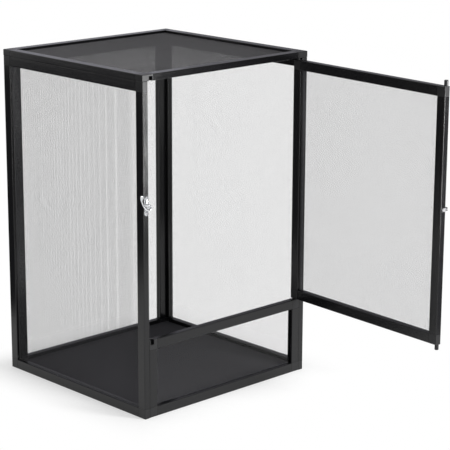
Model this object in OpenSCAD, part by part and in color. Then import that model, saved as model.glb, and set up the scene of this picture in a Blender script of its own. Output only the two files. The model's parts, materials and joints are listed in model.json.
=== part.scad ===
// Terrarium cabinet: six framed panels, a floor board, a mesh door on corner pins and a turn latch.
// The origin is on the ground at the middle of the cabinet's footprint; the front faces -Y, and +Z is up.

/* [Cabinet] */
// Width across the front
cabinet_w = 390; // [320:5:480]
// Depth from front to back
cabinet_d = 380; // [320:5:480]
// Height from the ground to the top of the top panel
cabinet_h = 600; // [480:10:900]
// Height of the clear panel under the door
lower_panel_h = 140; // [100:5:220]

/* [Frame rails] */
// Face width of the hollow rails
rail_w = 17.5; // [16:0.5:22]
// Thickness of the rails, and so of every panel
rail_t = 11.5; // [10.5:0.5:15]
// Wall of the hollow rails
rail_wall = 1.2; // [0.8:0.1:1.4]
// Radius of the rails' long edges
rail_edge_r = 1; // [0.5:0.1:1.1]
// Width of the slot along a rail's inner edge
slot_w = 2.4; // [1.8:0.1:3]
// Depth of that slot
slot_depth = 5; // [4:0.5:6]

/* [Corner blocks] */
// Length of the legs that plug into the hollow rails
leg_length = 25; // [15:1:40]
// Clearance round a leg inside its rail
leg_fit = 0.1; // [0.05:0.05:0.2]
// Open seam between a corner block and a rail's end
rail_seam = 0.3; // [0.1:0.1:0.6]
// Plastic left beside a pin's socket or notch in the top panel's front blocks
socket_wall = 1.5; // [1:0.1:3]

/* [Mesh, spline and pane] */
// Thickness of the mesh
mesh_t = 0.5; // [0.3:0.1:0.8]
// Openings along the longer way of a mesh
mesh_cells = 12; // [6:1:12]
// Width of the strips between the openings
mesh_strip = 2; // [1:0.1:4]
// How far mesh, spline and pane reach into the slot
grip_depth = 4.5; // [3:0.1:4.8]
// Clearance beside the mesh, the spline and the pane in the slot
slot_fit = 0.1; // [0.05:0.05:0.2]

/* [Door] */
// Angle at which the door stands open
door_angle = 87; // [0:1:108]
// Gap between the closed door and each side panel
door_side_gap = 2; // [1.8:0.1:4]
// Gap above and below the door
door_end_gap = 2.5; // [1.5:0.1:4]
// Diameter of the round pins on the door's corner blocks
pin_d = 7; // [5:0.5:7.5]
// Length of those pins
pin_length = 10; // [7:0.5:11]
// Plastic between a pin and the outer face and edge of its block
pin_wall = 1; // [0.5:0.1:1.4]
// Radial clearance of the hinge pins in their sockets
pin_fit = 0.05; // [0.02:0.01:0.1]
// Clearance at each side of the free pins in their notches
notch_fit = 0.5; // [0.3:0.1:0.9]
// Room past the end of a pin in its socket or notch
pin_end_room = 0.8; // [0.4:0.1:1.5]
// Bevel at the end of a pin
pin_bevel = 0.6; // [0.3:0.1:1]

/* [Floor board] */
// Thickness of the floor board
floor_t = 10; // [8:0.5:12]
// Gap round the floor board
floor_fit = 0.3; // [0.2:0.1:0.6]

/* [Pegs] */
// Diameter of the pegs that join the panels
peg_d = 4; // [3:0.5:4.5]
// How far a peg reaches into the piece on each side
peg_reach = 5.5; // [4:0.5:6.5]
// Radial clearance of a peg in its hole
peg_fit = 0.05; // [0.02:0.01:0.1]
// Room past the end of a peg
peg_end_room = 0.2; // [0.1:0.1:0.5]
// Plastic between a side peg and the block's inner edge
peg_wall = 2.5; // [1.5:0.1:4]

/* [Latch] */
// Height of the latch's pivot above the ground
latch_z = 378; // [300:1:420]
// Width of the latch's base plate
plate_w = 9.5; // [8:0.5:11]
// Height of the base plate
plate_h = 34; // [30:1:44]
// Thickness of the base plate
plate_t = 1.4; // [1:0.1:2]
// Distance between the base plate's two screws
screw_pitch = 25; // [22:0.5:25]
// Diameter of the lever's hub
hub_d = 9; // [7:0.5:9.5]
// Height of the hub
hub_h = 5.4; // [4.6:0.1:8]
// Radius of the lever's curved arm, at its middle
arm_r = 17.3; // [14:0.1:22]
// Width of the arm
arm_w = 3.2; // [2.5:0.1:4]
// Thickness of the arm
arm_t = 2; // [1.2:0.1:2]
// Length of the thumb tab at the arm's end
tab_length = 9; // [5:0.5:14]
// Length of the lever's tongue from the pivot
tongue_length = 12; // [11:0.1:13]
// Width of the tongue
tongue_w = 4; // [3:0.1:5]
// Thickness of the tongue
tongue_t = 1.6; // [1:0.1:1.8]
// Diameter of the pivot rivet
pivot_d = 3; // [2.5:0.1:3.5]
// Clearance between the rivet and the lever, and under and over the hub
pivot_fit = 0.06; // [0.03:0.01:0.1]
// Diameter of the rivet's head
pivot_head_d = 6.5; // [5.5:0.1:8]
// Gap under and over the hub
hub_gap = 0.2; // [0.1:0.05:0.4]
// Height of the tongue above the base plate
tongue_rise = 0.8; // [0.6:0.05:0.9]

/* [Keeper] */
// Height of the keeper
keeper_h = 6; // [5.5:0.1:9]
// Thickness of the keeper's strip
keeper_t = 0.8; // [0.6:0.1:1]
// Reach of the hook over the tongue
hook_length = 9; // [6:0.1:10]
// Clear depth behind the hook
hook_depth = 3.5; // [3.4:0.1:4]
// Length of the leg on the door's edge
keeper_leg = 8; // [5:0.1:10]

/* [Screws] */
// Shank diameter of the small screws
screw_d = 2.6; // [2:0.1:3]
// Head diameter of the small screws
screw_head_d = 5; // [4:0.1:5.5]
// Length of the latch's screws
screw_length = 8; // [5:0.5:9]
// Length of the keeper's screw, which stays in the stile's solid lip
keeper_screw_length = 4; // [3:0.5:4.5]
// Clearance round the screws
screw_fit = 0.05; // [0.02:0.01:0.1]

/* [Hidden] */
$fn = 32;

// What follows from the driving sizes
side_h = cabinet_h - rail_t;
inner_w = cabinet_w - 2 * rail_t;
inner_d = cabinet_d - 2 * rail_t;
hollow_w = rail_w - slot_depth - 2 * rail_wall;
hollow_t = rail_t - 2 * rail_wall;
spline_t = slot_w - mesh_t - 2 * slot_fit;
pane_t = slot_w - 2 * slot_fit;
slot_z = (rail_t - slot_w) / 2;

door_w = inner_w - 2 * door_side_gap;
door_h = side_h - lower_panel_h - 2 * door_end_gap;
door_z = lower_panel_h + door_end_gap;
pin_inset = pin_d / 2 + pin_wall;
hinge_x = inner_w / 2 - door_side_gap - pin_inset;
hinge_y = -cabinet_d / 2 + pin_inset;
socket_depth = pin_length - door_end_gap + pin_end_room;
front_block_w = rail_t + door_side_gap + pin_inset + pin_d / 2 + notch_fit + socket_wall;

peg_edge = rail_w - peg_d / 2 - peg_wall;
countersink_t = (screw_head_d - screw_d) / 2;
screw_crown = 0.4;
recess_depth = 0.7;
recess_w = 0.7;
arm_rise = arm_r - hub_d / 2 + 0.2;
arm_start = 150;
arm_end = 266;

// Colours, as the eye sees them
rail_colour = [0.16, 0.16, 0.17];
block_colour = [0.27, 0.27, 0.28];
mesh_colour = [0.25, 0.25, 0.26, 0.3];
spline_colour = [0.08, 0.08, 0.08];
pane_colour = [0.9, 0.95, 0.97, 0.2];
board_colour = [0.2, 0.2, 0.2];
chrome_colour = [0.8, 0.8, 0.82];

// ---- Where each panel stands. A panel lies flat in its own frame: X along its width, Y up its
// ---- height and Z through its thickness, with the outer face at Z = rail_t.

module at_left() {
    translate([-inner_w / 2, cabinet_d / 2, 0]) rotate([90, 0, -90]) children();
}

module at_right() {
    translate([inner_w / 2, -cabinet_d / 2, 0]) rotate([90, 0, 90]) children();
}

module at_rear() {
    translate([inner_w / 2, inner_d / 2, 0]) rotate([90, 0, 180]) children();
}

module at_lower() {
    translate([-inner_w / 2, -inner_d / 2, 0]) rotate([90, 0, 0]) children();
}

module at_top() {
    translate([-cabinet_w / 2, -cabinet_d / 2, side_h]) children();
}

module at_door() {
    translate([hinge_x, hinge_y, 0])
        rotate([0, 0, door_angle])
            translate([-door_w / 2 - hinge_x, -inner_d / 2 - hinge_y, door_z])
                rotate([90, 0, 0]) children();
}

// ---- The hollow rail

module rounded_rectangle(w, h, r) {
    translate([r, 0]) square([w - 2 * r, h]);
    translate([0, r]) square([w, h - 2 * r]);
    for (x = [r, w - r], y = [r, h - r]) translate([x, y]) circle(r);
}

// Section of a rail: the outer edge at x = 0, the mesh slot at x = rail_w
module rail_section() {
    difference() {
        rounded_rectangle(rail_w, rail_t, rail_edge_r);
        translate([rail_wall, rail_wall]) square([hollow_w, hollow_t]);
        translate([rail_w - slot_depth, slot_z]) square([slot_depth + 1, slot_w]);
    }
}

// A rail along +X whose outer edge lies on the X axis
module rail(length) {
    rotate([90, 0, 90]) linear_extrude(length) rail_section();
}

// The four rails of a panel of w by h, between corner blocks bx wide at the bottom and rail_w elsewhere
module bottom_rail(w, bx = rail_w) {
    translate([bx + rail_seam, 0, 0]) rail(w - 2 * (bx + rail_seam));
}

module top_rail(w, h) {
    translate([w - rail_w - rail_seam, h, 0]) rotate([0, 0, 180]) rail(w - 2 * (rail_w + rail_seam));
}

module near_stile(h) {
    translate([0, h - rail_w - rail_seam, 0]) rotate([0, 0, -90]) rail(h - 2 * (rail_w + rail_seam));
}

module far_stile(w, h) {
    translate([w, rail_w + rail_seam, 0]) rotate([0, 0, 90]) rail(h - 2 * (rail_w + rail_seam));
}

// ---- The corner block

// Outline across a block's edge, with its outer corners as round as the rails' edges
module edge_outline(length) {
    translate([rail_edge_r, 0]) square([length - rail_edge_r, rail_t]);
    translate([0, rail_edge_r]) square([length, rail_t - 2 * rail_edge_r]);
    for (y = [rail_edge_r, rail_t - rail_edge_r]) translate([rail_edge_r, y]) circle(rail_edge_r);
}

// A block with its outer corner at the origin and a leg into the rail on each side
module corner_block(bx = rail_w) {
    leg_start = rail_wall + leg_fit;
    leg_w = hollow_w - 2 * leg_fit;
    leg_t = hollow_t - 2 * leg_fit;
    root = 2;
    intersection() {
        rotate([90, 0, 90]) linear_extrude(bx) edge_outline(rail_w);
        translate([0, rail_w, 0]) rotate([90, 0, 0]) linear_extrude(rail_w) edge_outline(bx);
    }
    translate([bx - root, leg_start, leg_start]) cube([root + leg_length, leg_w, leg_t]);
    translate([leg_start, rail_w - root, leg_start]) cube([leg_w, root + leg_length, leg_t]);
}

// Corners of a w by h panel: 0 near bottom, 1 far bottom, 2 far top, 3 near top
module at_corner(i, w, h) {
    far = i == 1 || i == 2;
    high = i >= 2;
    translate([far ? w : 0, high ? h : 0, 0])
        mirror([far ? 1 : 0, 0, 0])
            mirror([0, high ? 1 : 0, 0]) children();
}

// ---- Mesh, spline and pane

// Outline of a sheet held in the slots on four sides, cut away at the corner blocks, which are bx
// wide at the bottom
module slotted_outline(w, h, bx = rail_w) {
    inset = rail_w + rail_seam;
    reach = rail_w - grip_depth;
    translate([reach, inset]) square([w - 2 * reach, h - 2 * inset]);
    translate([inset, h - inset - 1]) square([w - 2 * inset, inset - reach + 1]);
    translate([bx + rail_seam, reach]) square([w - 2 * (bx + rail_seam), inset - reach + 1]);
}

// The mesh's openings between the rails, as a plain grid in place of the fine weave
module mesh_openings(w, h) {
    clear_w = w - 2 * rail_w - mesh_strip;
    clear_h = h - 2 * rail_w - mesh_strip;
    across = round(mesh_cells * min(1, clear_w / clear_h));
    up = round(mesh_cells * min(1, clear_h / clear_w));
    cell = [clear_w / across, clear_h / up];
    for (i = [0:across - 1], j = [0:up - 1])
        translate([rail_w + mesh_strip + i * cell.x, rail_w + mesh_strip + j * cell.y])
            square([cell.x - mesh_strip, cell.y - mesh_strip]);
}

module mesh_sheet(w, h, bx = rail_w) {
    translate([0, 0, slot_z + slot_w - slot_fit - mesh_t]) linear_extrude(mesh_t) difference() {
        slotted_outline(w, h, bx);
        mesh_openings(w, h);
    }
}

// The four strips that wedge the mesh in the slots
module spline_strips(w, h, bx = rail_w) {
    inset = rail_w + rail_seam;
    z = slot_z + slot_fit;
    translate([bx + rail_seam, rail_w - grip_depth, z]) cube([w - 2 * (bx + rail_seam), grip_depth, spline_t]);
    translate([inset, h - rail_w, z]) cube([w - 2 * inset, grip_depth, spline_t]);
    for (x = [rail_w - grip_depth, w - rail_w])
        translate([x, inset, z]) cube([grip_depth, h - 2 * inset, spline_t]);
}

// ---- Pegs and screws. The holes for them are the same shapes with their clearance.

module peg(reach_a, reach_b, fit) {
    room = fit > 0 ? peg_end_room : 0;
    translate([0, 0, -reach_a - room])
        cylinder(d = peg_d + 2 * fit, h = reach_a + reach_b + 2 * room);
}

// Side pegs through the side panels' inner faces, and upright pegs under the top panel
module panel_peg_set(fit = 0) {
    for (s = [-1, 1]) {
        for (z = [peg_edge, lower_panel_h - peg_edge])
            translate([s * inner_w / 2, -(cabinet_d - rail_t) / 2, z])
                rotate([0, 90, 0]) peg(peg_reach, peg_reach, fit);
        for (z = [peg_edge, side_h - peg_edge])
            translate([s * inner_w / 2, (cabinet_d - rail_t) / 2, z])
                rotate([0, 90, 0]) peg(peg_reach, peg_reach, fit);
        for (y = [-1, 1])
            translate([s * (cabinet_w - rail_t) / 2, y * (cabinet_d - rail_w) / 2, side_h])
                peg(peg_reach, peg_reach, fit);
    }
}

// Two pegs on each side of the floor board, into the bottom rails
module floor_peg_set(fit = 0) {
    for (s = [-1, 1], q = [-1, 1]) {
        translate([s * inner_w / 2, q * inner_d / 4, floor_t / 2])
            rotate([0, s * 90, 0]) peg(peg_reach + floor_fit, peg_reach, fit);
        translate([q * inner_w / 4, s * inner_d / 2, floor_t / 2])
            rotate([-s * 90, 0, 0]) peg(peg_reach + floor_fit, peg_reach, fit);
    }
}

// A countersunk screw with its seat's surface at z = 0, pointing down
module screw(length, fit = 0) {
    shank_r = screw_d / 2 + fit;
    head_r = screw_head_d / 2 + fit;
    difference() {
        union() {
            translate([0, 0, -length]) cylinder(r = shank_r, h = length);
            translate([0, 0, -countersink_t]) cylinder(r1 = shank_r, r2 = head_r, h = countersink_t);
            cylinder(r1 = head_r, r2 = head_r - 2 * screw_crown, h = screw_crown);
        }
        if (fit == 0)
            for (a = [0, 90]) rotate([0, 0, a])
                translate([-screw_head_d / 3, -recess_w / 2, screw_crown - recess_depth])
                    cube([screw_head_d / 1.5, recess_w, recess_depth + 1]);
    }
}

// ---- Side panels, seen from outside: the left panel's near end is at the rear, the right's at the front

module left_panel_front_stile() {
    color(rail_colour) difference() {
        at_left() far_stile(cabinet_d, side_h);
        panel_peg_set(peg_fit);
        latch_screw_set(screw_fit);
    }
}

module left_panel_rear_stile() {
    color(rail_colour) at_left() near_stile(side_h);
}

module left_panel_top_rail() {
    color(rail_colour) at_left() top_rail(cabinet_d, side_h);
}

module left_panel_bottom_rail() {
    color(rail_colour) difference() {
        at_left() bottom_rail(cabinet_d);
        floor_peg_set(peg_fit);
    }
}

module left_panel_corners() {
    color(block_colour) difference() {
        at_left() for (i = [0:3]) at_corner(i, cabinet_d, side_h) corner_block();
        panel_peg_set(peg_fit);
    }
}

module left_panel_mesh() {
    color(mesh_colour) at_left() mesh_sheet(cabinet_d, side_h);
}

module left_panel_spline() {
    color(spline_colour) at_left() spline_strips(cabinet_d, side_h);
}

module right_panel_front_stile() {
    color(rail_colour) difference() {
        at_right() near_stile(side_h);
        panel_peg_set(peg_fit);
    }
}

module right_panel_rear_stile() {
    color(rail_colour) at_right() far_stile(cabinet_d, side_h);
}

module right_panel_top_rail() {
    color(rail_colour) at_right() top_rail(cabinet_d, side_h);
}

module right_panel_bottom_rail() {
    color(rail_colour) difference() {
        at_right() bottom_rail(cabinet_d);
        floor_peg_set(peg_fit);
    }
}

module right_panel_corners() {
    color(block_colour) difference() {
        at_right() for (i = [0:3]) at_corner(i, cabinet_d, side_h) corner_block();
        panel_peg_set(peg_fit);
    }
}

module right_panel_mesh() {
    color(mesh_colour) at_right() mesh_sheet(cabinet_d, side_h);
}

module right_panel_spline() {
    color(spline_colour) at_right() spline_strips(cabinet_d, side_h);
}

// ---- Rear panel, between the side panels

module rear_panel_left_stile() {
    color(rail_colour) at_rear() far_stile(inner_w, side_h);
}

module rear_panel_right_stile() {
    color(rail_colour) at_rear() near_stile(side_h);
}

module rear_panel_top_rail() {
    color(rail_colour) at_rear() top_rail(inner_w, side_h);
}

module rear_panel_bottom_rail() {
    color(rail_colour) difference() {
        at_rear() bottom_rail(inner_w);
        floor_peg_set(peg_fit);
    }
}

module rear_panel_corners() {
    color(block_colour) difference() {
        at_rear() for (i = [0:3]) at_corner(i, inner_w, side_h) corner_block();
        panel_peg_set(peg_fit);
    }
}

module rear_panel_mesh() {
    color(mesh_colour) at_rear() mesh_sheet(inner_w, side_h);
}

module rear_panel_spline() {
    color(spline_colour) at_rear() spline_strips(inner_w, side_h);
}

// ---- Top panel, lying on the side and rear panels. Its front blocks are longer and take the door's pins.

module top_panel_front_rail() {
    color(rail_colour) at_top() bottom_rail(cabinet_w, front_block_w);
}

module top_panel_rear_rail() {
    color(rail_colour) at_top() top_rail(cabinet_w, cabinet_d);
}

module top_panel_left_rail() {
    color(rail_colour) at_top() near_stile(cabinet_d);
}

module top_panel_right_rail() {
    color(rail_colour) at_top() far_stile(cabinet_w, cabinet_d);
}

module top_panel_hinge_corner() {
    color(block_colour) difference() {
        at_top() at_corner(1, cabinet_w, cabinet_d) corner_block(front_block_w);
        panel_peg_set(peg_fit);
        translate([hinge_x, hinge_y, side_h - 1])
            cylinder(d = pin_d + 2 * pin_fit, h = socket_depth + 1);
    }
}

module top_panel_latch_corner() {
    color(block_colour) difference() {
        at_top() at_corner(0, cabinet_w, cabinet_d) corner_block(front_block_w);
        panel_peg_set(peg_fit);
        translate([0, 0, side_h - 1]) pin_notch(socket_depth + 1);
    }
}

// Notch, open to the front and upright, that a free pin swings into
module pin_notch(depth) {
    notch_d = pin_d + 2 * notch_fit;
    translate([-hinge_x, hinge_y, 0]) cylinder(d = notch_d, h = depth);
    translate([-hinge_x - notch_d / 2, hinge_y - pin_inset - 1, 0]) cube([notch_d, pin_inset + 1, depth]);
}

module top_panel_rear_corners() {
    color(block_colour) difference() {
        at_top() for (i = [2, 3]) at_corner(i, cabinet_w, cabinet_d) corner_block();
        panel_peg_set(peg_fit);
    }
}

module top_panel_mesh() {
    color(mesh_colour) at_top() mesh_sheet(cabinet_w, cabinet_d, front_block_w);
}

module top_panel_spline() {
    color(spline_colour) at_top() spline_strips(cabinet_w, cabinet_d, front_block_w);
}

// ---- Lower front panel, with a clear pane. Its top blocks take the door's lower pins.

module lower_panel_left_stile() {
    color(rail_colour) at_lower() near_stile(lower_panel_h);
}

module lower_panel_right_stile() {
    color(rail_colour) at_lower() far_stile(inner_w, lower_panel_h);
}

module lower_panel_top_rail() {
    color(rail_colour) at_lower() top_rail(inner_w, lower_panel_h);
}

module lower_panel_bottom_rail() {
    color(rail_colour) difference() {
        at_lower() bottom_rail(inner_w);
        floor_peg_set(peg_fit);
    }
}

module lower_panel_hinge_corner() {
    color(block_colour) difference() {
        at_lower() at_corner(2, inner_w, lower_panel_h) corner_block();
        panel_peg_set(peg_fit);
        translate([hinge_x, hinge_y, lower_panel_h - socket_depth])
            cylinder(d = pin_d + 2 * pin_fit, h = socket_depth + 1);
    }
}

module lower_panel_latch_corner() {
    color(block_colour) difference() {
        at_lower() at_corner(3, inner_w, lower_panel_h) corner_block();
        panel_peg_set(peg_fit);
        translate([0, 0, lower_panel_h - socket_depth]) pin_notch(socket_depth + 1);
    }
}

module lower_panel_bottom_corners() {
    color(block_colour) difference() {
        at_lower() for (i = [0, 1]) at_corner(i, inner_w, lower_panel_h) corner_block();
        panel_peg_set(peg_fit);
    }
}

module lower_panel_pane() {
    color(pane_colour) at_lower() translate([0, 0, slot_z + slot_fit])
        linear_extrude(pane_t) slotted_outline(inner_w, lower_panel_h);
}

// ---- Door. Each corner block carries a round pin that stands out of the door's top or bottom.

// The pin of a block at the near bottom corner, pointing down
module corner_pin() {
    translate([pin_inset, 0, rail_t - pin_inset]) rotate([90, 0, 0]) {
        translate([0, 0, -1]) cylinder(d = pin_d, h = pin_length - pin_bevel + 1);
        translate([0, 0, pin_length - pin_bevel])
            cylinder(d1 = pin_d, d2 = pin_d - 2 * pin_bevel, h = pin_bevel);
    }
}

module door_blocks(which) {
    color(block_colour) at_door() for (i = which) at_corner(i, door_w, door_h) {
        corner_block();
        corner_pin();
    }
}

module door_hinge_corners() {
    door_blocks([1, 2]);
}

module door_free_corners() {
    door_blocks([0, 3]);
}

module door_hinge_stile() {
    color(rail_colour) at_door() far_stile(door_w, door_h);
}

module door_free_stile() {
    color(rail_colour) difference() {
        at_door() near_stile(door_h);
        keeper_screw_shape(screw_fit);
    }
}

module door_top_rail() {
    color(rail_colour) at_door() top_rail(door_w, door_h);
}

module door_bottom_rail() {
    color(rail_colour) at_door() bottom_rail(door_w);
}

module door_mesh() {
    color(mesh_colour) at_door() mesh_sheet(door_w, door_h);
}

module door_spline() {
    color(spline_colour) at_door() spline_strips(door_w, door_h);
}

// ---- Floor board, on the ground between the bottom rails, and the pegs

module floor_board() {
    color(board_colour) difference() {
        translate([0, 0, floor_t / 2])
            cube([inner_w - 2 * floor_fit, inner_d - 2 * floor_fit, floor_t], center = true);
        floor_peg_set(peg_fit);
    }
}

module floor_pegs() {
    color(block_colour) floor_peg_set();
}

module panel_pegs() {
    color(block_colour) panel_peg_set();
}

// ---- Turn latch on the front edge of the left panel's front stile

// X across the stile's edge, Y up and Z out of the cabinet's front, from the pivot
module at_latch() {
    translate([-(cabinet_w - rail_t) / 2, -cabinet_d / 2, latch_z]) rotate([90, 0, 0]) children();
}

module latch_screw_set(fit = 0) {
    at_latch() for (y = [-1, 1]) translate([0, y * screw_pitch / 2, plate_t]) screw(screw_length, fit);
}

module latch_base() {
    end_r = plate_w / 2;
    color(chrome_colour) difference() {
        at_latch() difference() {
            linear_extrude(plate_t) union() {
                square([plate_w, plate_h - plate_w], center = true);
                for (y = [-1, 1]) translate([0, y * (plate_h / 2 - end_r)]) circle(end_r);
            }
            translate([0, 0, -1]) cylinder(d = pivot_d + 2 * pivot_fit, h = plate_t + 2);
        }
        latch_screw_set(screw_fit);
    }
}

module latch_screws() {
    color(chrome_colour) latch_screw_set();
}

// Ring sector of the arm, centred on the curve's own middle
module arm_outline() {
    reach = 2 * arm_r;
    intersection() {
        difference() {
            circle(arm_r + arm_w / 2, $fn = 64);
            circle(arm_r - arm_w / 2, $fn = 64);
        }
        polygon([[0, 0],
                 for (a = [arm_start:(arm_end - arm_start) / 4:arm_end]) reach * [cos(a), sin(a)]]);
    }
}

module latch_lever() {
    hub_z = plate_t + hub_gap;
    arm_z = hub_z + hub_h - arm_t;
    tongue_z = plate_t + tongue_rise;
    color(chrome_colour) at_latch() difference() {
        union() {
            translate([0, 0, hub_z]) cylinder(d = hub_d, h = hub_h);
            translate([0, arm_rise, arm_z]) linear_extrude(arm_t) arm_outline();
            translate([0, arm_rise, arm_z]) rotate([0, 0, arm_start])
                translate([arm_r - arm_w / 2, -arm_t / 2, 0]) cube([arm_w, arm_t, arm_t + tab_length]);
            translate([-tongue_w / 2, 0, tongue_z]) cube([tongue_w, tongue_length - tongue_w / 2, tongue_t]);
            translate([0, tongue_length - tongue_w / 2, tongue_z]) cylinder(d = tongue_w, h = tongue_t);
        }
        cylinder(d = pivot_d + 2 * pivot_fit, h = hub_z + hub_h + 1);
    }
}

module latch_pivot() {
    head_z = plate_t + hub_h + 2 * hub_gap;
    head_t = 1.2;
    bevel = 0.5;
    eye_d = 2.4;
    color(chrome_colour) at_latch() difference() {
        union() {
            cylinder(d = pivot_d, h = head_z + head_t / 2);
            translate([0, 0, head_z]) cylinder(d = pivot_head_d, h = head_t - bevel);
            translate([0, 0, head_z + head_t - bevel])
                cylinder(d1 = pivot_head_d, d2 = pivot_head_d - 2 * bevel, h = bevel);
        }
        translate([0, 0, head_z + head_t / 2]) cylinder(d = eye_d, h = head_t);
    }
}

// ---- Keeper on the door's free stile: a bent strip with a hook that the tongue turns in behind

// The door's own frame, at the height of the latch
module at_keeper() {
    at_door() translate([0, latch_z - door_z, rail_t]) children();
}

keeper_screw_x = hook_length + keeper_t + screw_head_d / 2 + 0.4;

module keeper_screw_shape(fit = 0) {
    at_keeper() translate([keeper_screw_x, 0, keeper_t]) screw(keeper_screw_length, fit);
}

module door_keeper() {
    color(chrome_colour) difference() {
        at_keeper() rotate([90, 0, 0]) linear_extrude(keeper_h, center = true) union() {
            translate([-keeper_t, -keeper_leg]) square([keeper_t, keeper_leg + keeper_t]);
            translate([-keeper_t, 0]) square([keeper_screw_x + screw_head_d / 2 + 2 * keeper_t, keeper_t]);
            translate([hook_length - keeper_t, 0]) square([keeper_t, hook_depth + 2 * keeper_t]);
            translate([0, keeper_t + hook_depth]) square([hook_length, keeper_t]);
        }
        keeper_screw_shape(screw_fit);
    }
}

module keeper_screw() {
    color(chrome_colour) keeper_screw_shape();
}

left_panel_front_stile();
left_panel_rear_stile();
left_panel_top_rail();
left_panel_bottom_rail();
left_panel_corners();
left_panel_mesh();
left_panel_spline();
right_panel_front_stile();
right_panel_rear_stile();
right_panel_top_rail();
right_panel_bottom_rail();
right_panel_corners();
right_panel_mesh();
right_panel_spline();
rear_panel_left_stile();
rear_panel_right_stile();
rear_panel_top_rail();
rear_panel_bottom_rail();
rear_panel_corners();
rear_panel_mesh();
rear_panel_spline();
top_panel_front_rail();
top_panel_rear_rail();
top_panel_left_rail();
top_panel_right_rail();
top_panel_hinge_corner();
top_panel_latch_corner();
top_panel_rear_corners();
top_panel_mesh();
top_panel_spline();
lower_panel_left_stile();
lower_panel_right_stile();
lower_panel_top_rail();
lower_panel_bottom_rail();
lower_panel_hinge_corner();
lower_panel_latch_corner();
lower_panel_bottom_corners();
lower_panel_pane();
door_hinge_stile();
door_free_stile();
door_top_rail();
door_bottom_rail();
door_hinge_corners();
door_free_corners();
door_mesh();
door_spline();
floor_board();
floor_pegs();
panel_pegs();
latch_base();
latch_lever();
latch_pivot();
latch_screws();
door_keeper();
keeper_screw();
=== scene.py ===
import json
import math
import random

import bmesh
import bpy
from mathutils import Matrix, Vector


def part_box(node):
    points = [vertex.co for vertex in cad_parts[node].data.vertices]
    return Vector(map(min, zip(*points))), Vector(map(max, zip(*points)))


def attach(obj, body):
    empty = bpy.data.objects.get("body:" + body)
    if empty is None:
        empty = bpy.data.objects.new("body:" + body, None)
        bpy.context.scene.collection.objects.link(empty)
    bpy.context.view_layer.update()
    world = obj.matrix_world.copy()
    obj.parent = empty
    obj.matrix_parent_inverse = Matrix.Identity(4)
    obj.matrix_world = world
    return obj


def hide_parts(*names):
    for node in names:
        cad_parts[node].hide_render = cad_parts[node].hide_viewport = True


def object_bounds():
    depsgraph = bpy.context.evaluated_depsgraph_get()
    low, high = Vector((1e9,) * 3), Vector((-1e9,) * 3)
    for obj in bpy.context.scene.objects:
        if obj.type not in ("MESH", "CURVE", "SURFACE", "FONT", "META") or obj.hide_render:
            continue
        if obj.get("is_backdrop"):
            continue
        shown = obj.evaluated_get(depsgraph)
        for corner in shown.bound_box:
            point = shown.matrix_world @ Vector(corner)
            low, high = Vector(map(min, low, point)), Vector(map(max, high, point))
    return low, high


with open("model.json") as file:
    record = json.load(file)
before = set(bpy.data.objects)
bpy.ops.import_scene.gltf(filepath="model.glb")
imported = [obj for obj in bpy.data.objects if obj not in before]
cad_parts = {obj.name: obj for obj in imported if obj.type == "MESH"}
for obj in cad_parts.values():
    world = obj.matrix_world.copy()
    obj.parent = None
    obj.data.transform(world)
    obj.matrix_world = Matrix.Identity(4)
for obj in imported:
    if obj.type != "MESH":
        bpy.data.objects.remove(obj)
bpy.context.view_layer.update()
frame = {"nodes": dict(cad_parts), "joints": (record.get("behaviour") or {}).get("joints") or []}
scene = bpy.context.scene
scene.view_settings.view_transform = "Standard"


# The camera stands high at the cabinet's left front corner, about three metres off, and looks
# down a little, as in the photograph. Its place comes from a fit to the cabinet's own corners.
camera_place = Vector((-2.0249, -2.3075, 1.0745))
camera_yaw = math.radians(43.625)
camera_pitch = math.radians(14.578)
camera_roll = math.radians(0.2415)
focal_px = 1726.2
frame_px = 450
sensor_mm = 36

ahead = Vector((
    math.sin(camera_yaw) * math.cos(camera_pitch),
    math.cos(camera_yaw) * math.cos(camera_pitch),
    -math.sin(camera_pitch),
))
level = Vector((math.cos(camera_yaw), -math.sin(camera_yaw), 0))
across = Matrix.Rotation(-camera_roll, 3, ahead) @ level
camera = bpy.data.objects.new("camera", bpy.data.cameras.new("camera"))
camera.data.sensor_width = sensor_mm
camera.data.lens = sensor_mm * focal_px / frame_px
camera.matrix_world = Matrix.Translation(camera_place) @ Matrix((
    across, across.cross(ahead), -ahead
)).transposed().to_4x4()
scene.collection.objects.link(camera)
scene.camera = camera


# The studio air: even white light from all round. The camera, and what the metal and the clear
# pane show, see plain white, and matt surfaces are lit by a little less.
class Shade:
    """One socket of a finish. Sums and products of it add the nodes that work them out."""

    def __init__(self, tree, socket=None):
        self.tree = tree
        self.socket = socket

    def node(self, kind, settings=None, sockets=None, out=0):
        """Adds a node with its settings and its sockets' values or links, and wraps an output."""
        made = self.tree.nodes.new(kind)
        for name, value in (settings or {}).items():
            setattr(made, name, value)
        for name, value in (sockets or {}).items():
            if isinstance(value, Shade):
                self.tree.links.new(value.socket, made.inputs[name])
            else:
                made.inputs[name].default_value = value
        return Shade(self.tree, made.outputs[out] if len(made.outputs) else None)

    def sums(self, operation, *values):
        return self.node("ShaderNodeMath", {"operation": operation}, dict(enumerate(values)))

    def __add__(self, other):
        return self.sums("ADD", self, other)

    def __sub__(self, other):
        return self.sums("SUBTRACT", self, other)

    def __rsub__(self, other):
        return self.sums("SUBTRACT", other, self)

    def __mul__(self, other):
        return self.sums("MULTIPLY", self, other)

    __radd__ = __add__
    __rmul__ = __mul__

    def blend(self, one, other):
        """From the colour one to the colour other as this value goes from 0 to 1."""
        factor, first_colour, second_colour, colour_out = 0, 6, 7, 2
        sockets = {factor: self, first_colour: one, second_colour: other}
        return self.node("ShaderNodeMix", {"data_type": "RGBA"}, sockets, out=colour_out)


def grey(value):
    return (value, value, value, 1)


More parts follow.
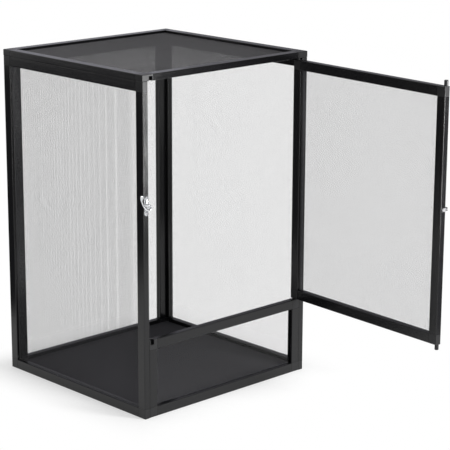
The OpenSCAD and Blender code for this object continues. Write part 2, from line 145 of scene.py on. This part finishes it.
def looked_at(shade):
    """1 for what the camera, a mirror or the clear pane sees, and 0 for what lights the set."""
    camera_ray = shade.node("ShaderNodeLightPath", out="Is Camera Ray")
    mirror_ray = shade.node("ShaderNodeLightPath", out="Is Glossy Ray")
    clear_ray = shade.node("ShaderNodeLightPath", out="Is Transmission Ray")
    return camera_ray + mirror_ray + clear_ray


seen_level = 1.0
lighting_level = 0.55
air = bpy.data.worlds.new("studio_air")
air.use_nodes = True
air.node_tree.nodes.clear()
light = Shade(air.node_tree)
plain = light.node("ShaderNodeBackground", None, {"Color": grey(1), "Strength": lighting_level})
white = light.node("ShaderNodeBackground", None, {"Color": grey(1), "Strength": seen_level})
both = light.node("ShaderNodeMixShader", None, {0: looked_at(light), 1: plain, 2: white})
light.node("ShaderNodeOutputWorld", None, {"Surface": both})
scene.world = air


# Two soft lamps: a wide one overhead, and a strip softbox that stands on the floor in front. The
# strip leaves the faint shadow along the left side, and shows as a sheen down the left front
# stile. Each is given by its place, the point it is turned to, its size and its watts.
def soft_lamp(name, place, aim, wide, high, power):
    lamp = bpy.data.objects.new(name, bpy.data.lights.new(name, "AREA"))
    lamp.data.shape = "RECTANGLE"
    lamp.data.size = wide
    lamp.data.size_y = high
    lamp.data.energy = power
    lamp.location = place
    lamp.rotation_mode = "QUATERNION"
    lamp.rotation_quaternion = (Vector(aim) - Vector(place)).to_track_quat("-Z", "Y")
    scene.collection.objects.link(lamp)


soft_lamp("overhead_lamp", (0.1, -0.1, 2.4), (0, 0, 0.2), 1.5, 1.5, 20)
soft_lamp("strip_softbox", (0.38, -1.19, 0.44), (-0.19, -0.19, 0.44), 0.22, 0.62, 15)


# The ground is a plain white sheet. Close to the cabinet it keeps the shadow, and further off
# what it shows fades into the white of the background.
def new_finish(name):
    material = bpy.data.materials.new(name)
    material.use_nodes = True
    material.node_tree.nodes.clear()
    return material, Shade(material.node_tree)


def sheet_of(name, corners):
    mesh = bpy.data.meshes.new(name)
    mesh.from_pydata(corners, [], [tuple(range(len(corners)))])
    made = bpy.data.objects.new(name, mesh)
    scene.collection.objects.link(made)
    return made


ground_reach = 6.0
footprint = (0.195, 0.19)
shadow_reach = 0.1
lighting_white = 0.8
shadow_white = 0.5
shadow_lift = 0.46
ground = sheet_of("ground", [
    (-ground_reach, -ground_reach, 0), (ground_reach, -ground_reach, 0),
    (ground_reach, ground_reach, 0), (-ground_reach, ground_reach, 0),
])
ground_white, paper = new_finish("ground_white")
lit = paper.node("ShaderNodeBsdfDiffuse", None, {"Color": grey(lighting_white)})
soft = paper.node("ShaderNodeBsdfDiffuse", None, {"Color": grey(shadow_white)})
lift = paper.node("ShaderNodeEmission", None, {"Color": grey(1), "Strength": shadow_lift})
near = paper.node("ShaderNodeAddShader", None, {0: soft, 1: lift})
far = paper.node("ShaderNodeEmission", None, {"Color": grey(1), "Strength": seen_level})
place = paper.node("ShaderNodeTexCoord", out="Object")
apart = paper.node("ShaderNodeVectorMath", {"operation": "ABSOLUTE"}, {0: place})
x_off = paper.node("ShaderNodeSeparateXYZ", None, {0: apart}, out="X") - footprint[0]
y_off = paper.node("ShaderNodeSeparateXYZ", None, {0: apart}, out="Y") - footprint[1]
beyond = paper.node("ShaderNodeMath", {"operation": "MAXIMUM"}, {0: x_off, 1: y_off})
fade = paper.node("ShaderNodeMapRange", {"interpolation_type": "SMOOTHSTEP"}, {
    "Value": beyond, "From Min": 0.0, "From Max": shadow_reach,
})
seen = paper.node("ShaderNodeMixShader", None, {0: fade, 1: near, 2: far})
both = paper.node("ShaderNodeMixShader", None, {0: looked_at(paper), 1: lit, 2: seen})
paper.node("ShaderNodeOutputMaterial", None, {"Surface": both})
ground.data.materials.append(ground_white)
ground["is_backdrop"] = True


# Five glowing cards stand round the set, out of the picture: low dark ones on the left and in
# front on the right, a tall dark one in front, and two tall grey ones behind. They are painted
# reflections: each glows at its own level, only mirror rays see it, and it shows as a darker
# reflection in the rails. Their glow is a little cool.
cool_grey = (0.99, 0.98, 1.08, 1)


def card(name, one, other, level):
    """A card between two uprights, each given by its place on the floor, its foot and its top."""
    made = sheet_of(name, [
        (one[0], one[1], one[2]), (other[0], other[1], other[2]),
        (other[0], other[1], other[3]), (one[0], one[1], one[3]),
    ])
    reflection_glow, tone = new_finish(name + "_paint")
    # The card's painted reflection: a flat, slightly cool glow at the card's level, which only
    # mirrors show.
    flat = tone.node("ShaderNodeEmission", None, {"Color": cool_grey, "Strength": level})
    tone.node("ShaderNodeOutputMaterial", None, {"Surface": flat})
    made.data.materials.append(reflection_glow)
    made.visible_camera = False
    made.visible_diffuse = False
    made.visible_transmission = False
    made.visible_shadow = False
    made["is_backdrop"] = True


card("left_card", (-0.22, 0.45, 0.0, 0.55), (-1.3, 0.5, 0.0, 0.43), 0.08)
card("back_left_card", (-0.05, 2.6, 0.05, 2.35), (1.25, 1.3, 0.05, 2.35), 0.46)
card("back_right_card", (1.25, 1.3, 0.05, 2.35), (2.55, 0.0, 0.05, 2.35), 0.28)
card("front_low_card", (0.45, -1.01, 0.0, 0.5), (0.7, -0.35, 0.0, 0.2), 0.1)
card("front_high_card", (-0.05, -2.4, 0.27, 2.0), (1.95, -0.5, 0.27, 2.0), 0.15)


# The hollow rails and stiles are aluminium extrusions under a thin black coat, cut square and
# pushed over the corner blocks' legs. The coat is satin, and the fine lines that the die drew
# along each length show through it and spread what it mirrors across that length.
def cloudy(shade, place, scale, detail, roughness=0.5):
    """Cloudy noise between 0 and 1, with about scale clouds to the metre."""
    return shade.node("ShaderNodeTexNoise", None, {
        "Vector": place, "Scale": scale, "Detail": detail, "Roughness": roughness,
    })


patch_scale = 9.0
tone_swing = 0.2
patch_rough = 0.10
line_rough = 0.08
peel_share = 0.15


def black_finish(name, colour, rough, peel_scale, height, streaks, turn=0.0, draw=0.6, gloss=0.38):
    """A black finish: a fine peel, lines drawn one way, and faint patches of tone and sheen.

    Streaks gives the lines' clouds to the metre in x, y and z, few along the lines and many
    across them. Turn then turns the stretched noise about the upright.
    """
    material, coat = new_finish(name)
    place = coat.node("ShaderNodeTexCoord", out="Object")
    peel = cloudy(coat, place, peel_scale, 3.0, 0.55)
    along = coat.node("ShaderNodeMapping", None, {
        "Vector": place, "Rotation": (0, 0, turn), "Scale": streaks,
    })
    lines = cloudy(coat, along, 1.0, 2.0, 0.6)
    patches = cloudy(coat, place, patch_scale, 3.0, 0.6)
    darker = [c * (1 - tone_swing) for c in colour] + [1]
    lighter = [c * (1 + tone_swing) for c in colour] + [1]
    uneven_rough = rough + patch_rough * (patches - 0.5) + line_rough * (lines - 0.5)
    bump = coat.node("ShaderNodeBump", None, {
        "Strength": 1.0, "Distance": height, "Height": peel_share * peel + draw * lines,
    })
    surface = coat.node("ShaderNodeBsdfPrincipled", None, {
        "Base Color": (0.5 * lines + 0.5 * patches).blend(darker, lighter),
        "Roughness": uneven_rough, "Normal": bump, "Specular IOR Level": gloss,
    })
    coat.node("ShaderNodeOutputMaterial", None, {"Surface": surface})
    return material


def dress(material, *names):
    for name in names:
        cad = frame["nodes"][name]
        cad.data.materials.clear()
        cad.data.materials.append(material)


rail_black = (0.005, 0.005, 0.0056)
rail_rough = 0.15
front_rough = 0.14
upright_rough = 0.18
rail_peel = 700
rail_height = 0.0001
fine = 2200.0
long = 5.0
door_turn = math.radians(frame["joints"][0]["range_deg"][0])
upright_coat = black_finish(
    "drawn_black_upright", rail_black, upright_rough, rail_peel, rail_height,
    (fine, fine, long), draw=0.7,
)
side_coat = black_finish(
    "drawn_black_side", rail_black, rail_rough, rail_peel, rail_height,
    (fine, long, fine), draw=1.0,
)
front_coat = black_finish(
    "drawn_black_front", rail_black, front_rough, rail_peel, rail_height,
    (long, fine, fine), draw=0.4,
)
# On the door's two rails, which lie nearly along y, these lines run across the rail.
door_coat = black_finish(
    "drawn_black_door", rail_black, rail_rough, rail_peel, rail_height,
    (long, fine, fine), turn=door_turn, draw=1.0,
)
dress(upright_coat, *[n for n in frame["nodes"] if n.endswith("_stile")])
dress(
    side_coat,
    "left_panel_top_rail", "left_panel_bottom_rail", "right_panel_top_rail",
    "right_panel_bottom_rail", "top_panel_left_rail", "top_panel_right_rail",
)
dress(
    front_coat,
    "rear_panel_top_rail", "rear_panel_bottom_rail", "top_panel_front_rail",
    "top_panel_rear_rail", "lower_panel_top_rail", "lower_panel_bottom_rail",
)
dress(door_coat, "door_top_rail", "door_bottom_rail")


# The corner blocks are moulded in black plastic, a shade lighter than the rails, with two legs
# that plug into them. The door's four carry its round pins, and the pegs are of the same stuff.
block_black = (0.008, 0.008, 0.0088)
block_rough = 0.32
block_peel = 1500
block_height = 0.00005
block_mottle = (40.0, 40.0, 40.0)
block_plastic = black_finish(
    "moulded_plastic", block_black, block_rough, block_peel, block_height, block_mottle
)
dress(block_plastic, *[n for n in frame["nodes"] if "corner" in n or n.endswith("_pegs")])


# The screens are black coated wire, woven square and stretched flat over each frame, stouter on
# the door and the top. The wires run on into the rails' slots, where the spline holds them, and
# their spacing is a little uneven.
wire_dark = (0.044, 0.043, 0.0465, 1)
wire_light = (0.073, 0.0715, 0.0765, 1)
wire_rough = 0.45
wire_gloss = 0.3
fleck_scale = 300.0
fleck_rough = 0.15
pitch = 0.0014
side_wire = 0.00018
door_wire = 0.00028
top_wire = 0.00024
stray = 0.02
uneven = random.Random(7)
wire_coat, wire = new_finish("coated_wire")
fleck = cloudy(wire, wire.node("ShaderNodeTexCoord", out="Object"), fleck_scale, 2.0)
surface = wire.node("ShaderNodeBsdfPrincipled", None, {
    "Base Color": fleck.blend(wire_dark, wire_light),
    "Roughness": wire_rough + fleck_rough * fleck, "Specular IOR Level": wire_gloss,
})
wire.node("ShaderNodeOutputMaterial", None, {"Surface": surface})


def wire_screen(name, node, body, width, height, thick, place):
    """Straight wires both ways over width by height, in the plane that place puts at z = 0."""
    half = thick / 2
    ring = [(half, 0), (0, half), (-half, 0), (0, -half)]
    points = []
    faces = []
    for along, size, other, lie in ((0, width, height, half), (1, height, width, -half)):
        count = int(other / pitch)
        first = (other - (count - 1) * pitch) / 2
        gaps = [uneven.uniform(1 - stray, 1 + stray) for _ in range(count - 1)]
        spread = (count - 1) * pitch / sum(gaps)
        for i in range(count):
            at = first + spread * sum(gaps[:i])
            one = [len(points) + k for k in range(4)]
            two = [k + 4 for k in one]
            for end in (0, size):
                for a, b in ring:
                    point = (end, at + a, lie + b) if along == 0 else (at + a, end, lie + b)
                    points.append(place @ Vector(point))
            sides = [[one[k - 1], one[k], two[k], two[k - 1]] for k in (1, 2, 3, 0)]
            for face in sides + [one[::-1], two]:
                faces.append(face if along == 1 else face[::-1])
    mesh = bpy.data.meshes.new(name)
    mesh.from_pydata(points, [], faces)
    mesh.materials.append(wire_coat)
    made = bpy.data.objects.new(name, mesh)
    scene.collection.objects.link(made)
    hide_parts(node)
    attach(made, body)


def plane_at(origin, across, up):
    """The place of a plane whose x runs across and whose y runs up."""
    x = Vector(across)
    y = Vector(up)
    turned = Matrix((x, y, x.cross(y))).transposed().to_4x4()
    return Matrix.Translation(origin) @ turned


for name in ("left", "right"):
    low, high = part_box(name + "_panel_mesh")
    wire_screen(
        name + "_screen", name + "_panel_mesh", "cabinet", high.y - low.y, high.z - low.z,
        side_wire, plane_at(((low.x + high.x) / 2, low.y, low.z), (0, 1, 0), (0, 0, 1)),
    )
low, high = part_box("rear_panel_mesh")
wire_screen(
    "rear_screen", "rear_panel_mesh", "cabinet", high.x - low.x, high.z - low.z,
    side_wire, plane_at((low.x, (low.y + high.y) / 2, low.z), (1, 0, 0), (0, 0, 1)),
)
low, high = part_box("top_panel_mesh")
wire_screen(
    "top_screen", "top_panel_mesh", "cabinet", high.x - low.x, high.y - low.y,
    top_wire, plane_at((low.x, low.y, (low.z + high.z) / 2), (1, 0, 0), (0, 1, 0)),
)

# The door's screen is laid out as in the closed door, and turned open with it.
door_screen_w = 0.337
door_screen_h = 0.4175
door_screen_y = -0.1851
hinge = Vector(frame["joints"][0]["pos_m"])
swing = Matrix.Rotation(-door_turn, 4, "Z")
opened = Matrix.Translation(hinge) @ swing @ Matrix.Translation(-hinge)
low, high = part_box("door_mesh")
wire_screen(
    "door_screen", "door_mesh", "door", door_screen_w, door_screen_h, door_wire,
    opened @ plane_at((-door_screen_w / 2, door_screen_y, low.z), (1, 0, 0), (0, 0, 1)),
)


# The splines are strips of soft black rubber, cut to length. They are pressed into the slots of
# the rails and stiles beside the screens, and wedge the wires' ends there.
spline_black = (0.006, 0.006, 0.006)
spline_rough = 0.6
spline_peel = 1200
spline_height = 0.00005
spline_mottle = (60.0, 60.0, 60.0)
spline_rubber = black_finish(
    "spline_rubber", spline_black, spline_rough, spline_peel, spline_height, spline_mottle
)
dress(spline_rubber, *[n for n in frame["nodes"] if n.endswith("_spline")])


# The lower front panel's pane is clear acrylic sheet, which sits in the slots of its rails and
# stiles. Seen straight on it shows next to nothing, and it mirrors more at a slant.
acrylic_clear = (0.99, 0.988, 0.99, 1)
straight_sheen = 0.01
slant_sheen = 0.6
sheen_tone = 0.9
sheen_rough = 0.03
clear_acrylic, pane = new_finish("clear_acrylic")
facing = pane.node("ShaderNodeLayerWeight", None, {"Blend": 0.5}, out="Facing")
squared = facing * facing
sheen = straight_sheen + slant_sheen * (squared * squared * facing)
through = pane.node("ShaderNodeBsdfTransparent", None, {"Color": acrylic_clear})
gloss = pane.node("ShaderNodeBsdfGlossy", None, {
    "Color": grey(sheen_tone), "Roughness": sheen_rough,
})
surface = pane.node("ShaderNodeMixShader", None, {0: sheen, 1: through, 2: gloss})
pane.node("ShaderNodeOutputMaterial", None, {"Surface": surface})
dress(clear_acrylic, "lower_panel_pane")


# The floor is a loose board faced in black, matt and lightly pebbled. It lies between the bottom
# rails, with pegs from its edges into them.
board_black = (0.0285, 0.028, 0.0315)
board_rough = 0.92
board_pebble = 420
board_height = 0.0003
board_mottle = (18.0, 18.0, 18.0)
floor_black = black_finish(
    "floor_board_black", board_black, board_rough, board_pebble, board_height, board_mottle,
    gloss=0.1,
)
dress(floor_black, "floor_board")


# The latch and its keeper are bright plated metal, held by small crosshead screws: a long base
# plate on the stile's edge, and on the door's free stile a strip bent into a hook, worn duller.
haze_scale = 500.0
haze_rough = 0.08


def plated(name, dull, clear, rough):
    material, plating = new_finish(name)
    haze = cloudy(plating, plating.node("ShaderNodeTexCoord", out="Object"), haze_scale, 3.0)
    surface = plating.node("ShaderNodeBsdfPrincipled", None, {
        "Base Color": haze.blend(dull, clear), "Metallic": 1.0,
        "Roughness": rough + haze_rough * haze,
    })
    plating.node("ShaderNodeOutputMaterial", None, {"Surface": surface})
    return material


bright_plate = plated("bright_plate", (0.62, 0.63, 0.65, 1), (0.76, 0.77, 0.78, 1), 0.11)
worn_plate = plated("worn_plate", (0.5, 0.5, 0.51, 1), (0.62, 0.62, 0.63, 1), 0.22)
dress(bright_plate, "latch_base", "latch_pivot", "latch_screws", "keeper_screw")
dress(worn_plate, "door_keeper")


# The latch's lever is cast in one and plated the same. The rivet's head sits in a well in its
# hub, a tongue at the back turns in behind the keeper's hook, and the curved arm ends in a thumb
# tab. Its stops are in millimetres: right, up, and out from the base plate's back.
def eased(stops, steps):
    """The stops, with steps from each to the next along a smooth curve through them all."""
    path = []
    last = len(stops) - 1
    for i in range(last):
        near = [stops[max(0, min(last, i + k))] for k in (-1, 0, 1, 2)]
        for k in range(steps):
            t = k / steps
            path.append([
                b + 0.5 * t * (c - a + t * (2 * a - 5 * b + 4 * c - d + t * (3 * (b - c) + d - a)))
                for a, b, c, d in zip(*near)
            ])
    return path + [list(stops[-1])]


def add_strip(solid, stops, thick):
    """A flat bar along the stops: right, up, the height of its middle, and its width there."""
    rings = []
    for i, (x, y, z, wide) in enumerate(stops):
        one = stops[max(0, i - 1)]
        two = stops[min(len(stops) - 1, i + 1)]
        across = Vector((one[1] - two[1], two[0] - one[0], 0)).normalized() * wide / 2
        up = Vector((0, 0, thick / 2))
        middle = Vector((x, y, z))
        rings.append([
            solid.verts.new(middle - across - up), solid.verts.new(middle - across + up),
            solid.verts.new(middle + across + up), solid.verts.new(middle + across - up),
        ])
    for one, two in zip(rings, rings[1:]):
        for k in range(4):
            n = (k + 1) % 4
            solid.faces.new((one[k], one[n], two[n], two[k]))
    solid.faces.new(rings[0][::-1])
    solid.faces.new(rings[-1])


def add_turned(solid, profile, around):
    """A ring turned from a closed profile of radius and height."""
    rings = []
    for k in range(around):
        angle = 2 * math.pi * k / around
        rings.append([
            solid.verts.new((r * math.cos(angle), r * math.sin(angle), z)) for r, z in profile
        ])
    for k in range(around):
        one = rings[k]
        two = rings[(k + 1) % around]
        for i in range(len(profile)):
            n = (i + 1) % len(profile)
            solid.faces.new((one[i], two[i], two[n], one[n]))


hub = [
    (1.56, 1.6), (4.2, 1.6), (4.5, 1.9), (4.5, 9.2), (4.35, 9.8), (3.95, 10.2), (3.65, 10.2),
    (3.45, 10.0), (3.45, 7.0), (1.56, 7.0),
]
hub_sides = 48
arm_thick = 1.8
arm_steps = 4
arm_out = 9.0
arm = [
    (3.0, -3.2, arm_out, 0.7), (1.1, -4.5, arm_out, 1.5), (-1.4, -4.6, arm_out, 2.3),
    (-4.3, -3.7, arm_out, 2.8), (-7.0, -2.0, arm_out, 3.1), (-10.2, 0.6, arm_out, 2.9),
    (-13.4, 5.2, arm_out, 2.6), (-16.0, 11.0, arm_out + 0.1, 2.5),
    (-16.9, 14.0, arm_out + 0.2, 3.6), (-16.9, 16.6, arm_out + 0.4, 5.8),
    (-16.5, 19.0, arm_out + 0.7, 7.8), (-16.2, 20.9, arm_out + 1.0, 8.6),
    (-16.1, 21.8, arm_out + 1.2, 7.4), (-16.0, 22.3, arm_out + 1.3, 4.6),
]
tongue_thick = 1.6
tongue_out = 3.0
tongue_wide = 4.0
tongue_long = 10.0
tongue_nose = 2.0
tongue = [(0, y, tongue_out, tongue_wide) for y in (2.2, 6.0, tongue_long)] + [
    (0, tongue_long + tongue_nose * math.sin(a), tongue_out, tongue_wide * math.cos(a))
    for a in (0.4, 0.8, 1.1, 1.35)
]
edge_round = 0.35
rounded_from = math.radians(50)
sharp_from = math.radians(40)
mm = 0.001

solid = bmesh.new()
add_turned(solid, hub, hub_sides)
add_strip(solid, eased(arm, arm_steps), arm_thick)
add_strip(solid, tongue, tongue_thick)
bmesh.ops.recalc_face_normals(solid, faces=solid.faces)
edges = [edge for edge in solid.edges if edge.calc_face_angle(0) > rounded_from]
bmesh.ops.bevel(solid, geom=edges, offset=edge_round, segments=2, profile=0.5, affect="EDGES")
pivot = Vector(frame["joints"][1]["pos_m"])
plate_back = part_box("latch_base")[1].y
seat = plane_at((pivot.x, plate_back, pivot.z), (1, 0, 0), (0, 0, 1)) @ Matrix.Scale(mm, 4)
bmesh.ops.transform(solid, matrix=seat, verts=solid.verts)
mesh = bpy.data.meshes.new("turn_lever")
solid.to_mesh(mesh)
solid.free()
mesh.shade_smooth()
mesh.set_sharp_from_angle(angle=sharp_from)
mesh.materials.append(bright_plate)
turn_lever = bpy.data.objects.new("turn_lever", mesh)
scene.collection.objects.link(turn_lever)
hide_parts("latch_lever")
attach(turn_lever, "lever")

low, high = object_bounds()
